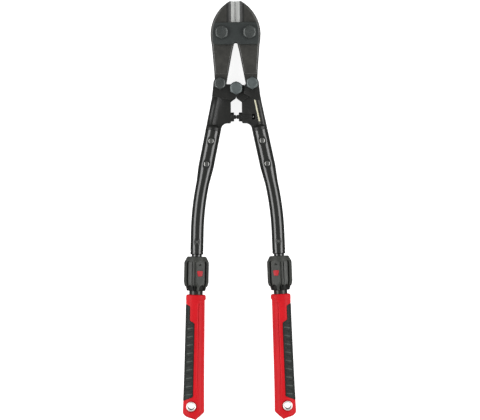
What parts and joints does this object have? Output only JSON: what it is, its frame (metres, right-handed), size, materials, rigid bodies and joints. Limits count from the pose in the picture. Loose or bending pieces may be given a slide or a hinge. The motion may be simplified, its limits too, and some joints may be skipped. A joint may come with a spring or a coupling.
{
  "type": "bolt cutters",
  "caption": "Compound-action bolt cutters with bolted jaws, forged yokes, bent handle tubes and telescoping grips with twist-lock collars.",
  "frame": {"origin": "middle of the tool's length and width, on the surface that it lies on", "axes": "+X across the tool, +Y along it towards the jaws, +Z through its thickness, up from the surface it lies on"},
  "size_m": [0.1658, 0.61, 0.0362],
  "materials": {
    "plate_steel": "black oxide link plates, satin, faint brushing",
    "jaw_steel": "forged jaws with a black oxide finish and bright ground bevels",
    "bolt_steel": "grey phosphated hex bolts and nuts",
    "yoke_steel": "forged yokes in semi-gloss black",
    "screw_steel": "bright zinc plated screws",
    "tube_paint": "gloss black powder coat on the handle tubes",
    "rivet_steel": "painted rivet heads and pins",
    "rod_steel": "ground steel rods",
    "sleeve_metal": "grey anodised grip tubes",
    "bush_plastic": "natural acetal bushes",
    "plug_plastic": "black plug",
    "collar_plastic": "dark grey glass-filled nylon collars",
    "red_mark": "red moulded mark",
    "grip_red": "red moulded grips, satin",
    "grip_rubber": "ribbed dark grey rubber inlay",
    "eyelet_steel": "bright rolled steel eyelets"
  },
  "bodies": {
    "head": {"front_link_plate": "plate_steel", "rear_link_plate": "plate_steel", "left_jaw_bolt": "bolt_steel", "right_jaw_bolt": "bolt_steel", "left_jaw_nut": "bolt_steel", "right_jaw_nut": "bolt_steel"},
    "left_jaw": {"left_jaw": "jaw_steel"},
    "right_jaw": {"right_jaw": "jaw_steel"},
    "left_handle": {"left_yoke": "yoke_steel", "left_tail_bolt": "bolt_steel", "left_tail_nut": "bolt_steel", "centre_bolt": "bolt_steel", "centre_nut": "bolt_steel", "left_stop_screw": "screw_steel", "left_stop_nut": "yoke_steel", "left_handle_tube": "tube_paint", "left_tube_rivets": "rivet_steel", "left_extension_rod": "rod_steel", "left_rod_pin": "rivet_steel", "left_guide_bush": "bush_plastic", "left_end_screw": "screw_steel"},
    "right_handle": {"right_yoke": "yoke_steel", "right_tail_bolt": "bolt_steel", "right_tail_nut": "bolt_steel", "right_stop_screw": "screw_steel", "right_stop_nut": "yoke_steel", "right_handle_tube": "tube_paint", "right_tube_rivets": "rivet_steel", "right_extension_rod": "rod_steel", "right_rod_pin": "rivet_steel", "right_guide_bush": "bush_plastic", "right_end_screw": "screw_steel"},
    "left_grip": {"left_grip_tube": "sleeve_metal", "left_neck_bush": "bush_plastic", "left_collet": "bush_plastic", "left_retaining_ring": "screw_steel", "left_tube_plug": "plug_plastic", "left_grip": "grip_red", "left_grip_inlay": "grip_rubber", "left_hang_eyelet": "eyelet_steel"},
    "left_collar": {"left_lock_collar": "collar_plastic", "left_lock_mark": "red_mark"},
    "right_grip": {"right_grip_tube": "sleeve_metal", "right_neck_bush": "bush_plastic", "right_collet": "bush_plastic", "right_retaining_ring": "screw_steel", "right_tube_plug": "plug_plastic", "right_grip": "grip_red", "right_grip_inlay": "grip_rubber", "right_hang_eyelet": "eyelet_steel"},
    "right_collar": {"right_lock_collar": "collar_plastic", "right_lock_mark": "red_mark"}
  },
  "joints": [
    {"name": "left_jaw_pivot", "type": "hinge", "parent": "head", "child": "left_jaw", "pos_m": [-0.0204, 0.25915, 0.0181], "axis": [0, 0, 1], "range_deg": [0, 7.2]},
    {"name": "left_handle_pivot", "type": "hinge", "parent": "left_jaw", "child": "left_handle", "pos_m": [-0.0235, 0.18485, 0.0181], "axis": [0, 0, -1], "range_deg": [0, 47]},
    {"name": "right_jaw_pivot", "type": "hinge", "parent": "head", "child": "right_jaw", "pos_m": [0.0204, 0.25915, 0.0181], "axis": [0, 0, -1], "range_deg": [0, 7.2]},
    {"name": "right_handle_pivot", "type": "hinge", "parent": "right_jaw", "child": "right_handle", "pos_m": [0.0235, 0.18485, 0.0181], "axis": [0, 0, 1], "range_deg": [0, 47.1]},
    {"name": "left_grip_slide", "type": "slide", "parent": "left_handle", "child": "left_grip", "axis": [-0.0311, -0.9995, 0], "range_m": [0, 0.15]},
    {"name": "left_collar_twist", "type": "hinge", "parent": "left_grip", "child": "left_collar", "pos_m": [-0.06084, -0.09215, 0.0181], "axis": [-0.0311, -0.9995, 0], "range_deg": [0, 60]},
    {"name": "right_grip_slide", "type": "slide", "parent": "right_handle", "child": "right_grip", "axis": [0.0311, -0.9995, 0], "range_m": [0, 0.15]},
    {"name": "right_collar_twist", "type": "hinge", "parent": "right_grip", "child": "right_collar", "pos_m": [0.06084, -0.09215, 0.0181], "axis": [0.0311, -0.9995, 0], "range_deg": [0, 60]}
  ],
  "couplings": [
    {"joint": "left_jaw_pivot", "follows": "left_handle_pivot", "ratio": 0.152},
    {"joint": "right_handle_pivot", "follows": "left_handle_pivot", "ratio": 1},
    {"joint": "right_jaw_pivot", "follows": "left_handle_pivot", "ratio": 0.152}
  ]
}
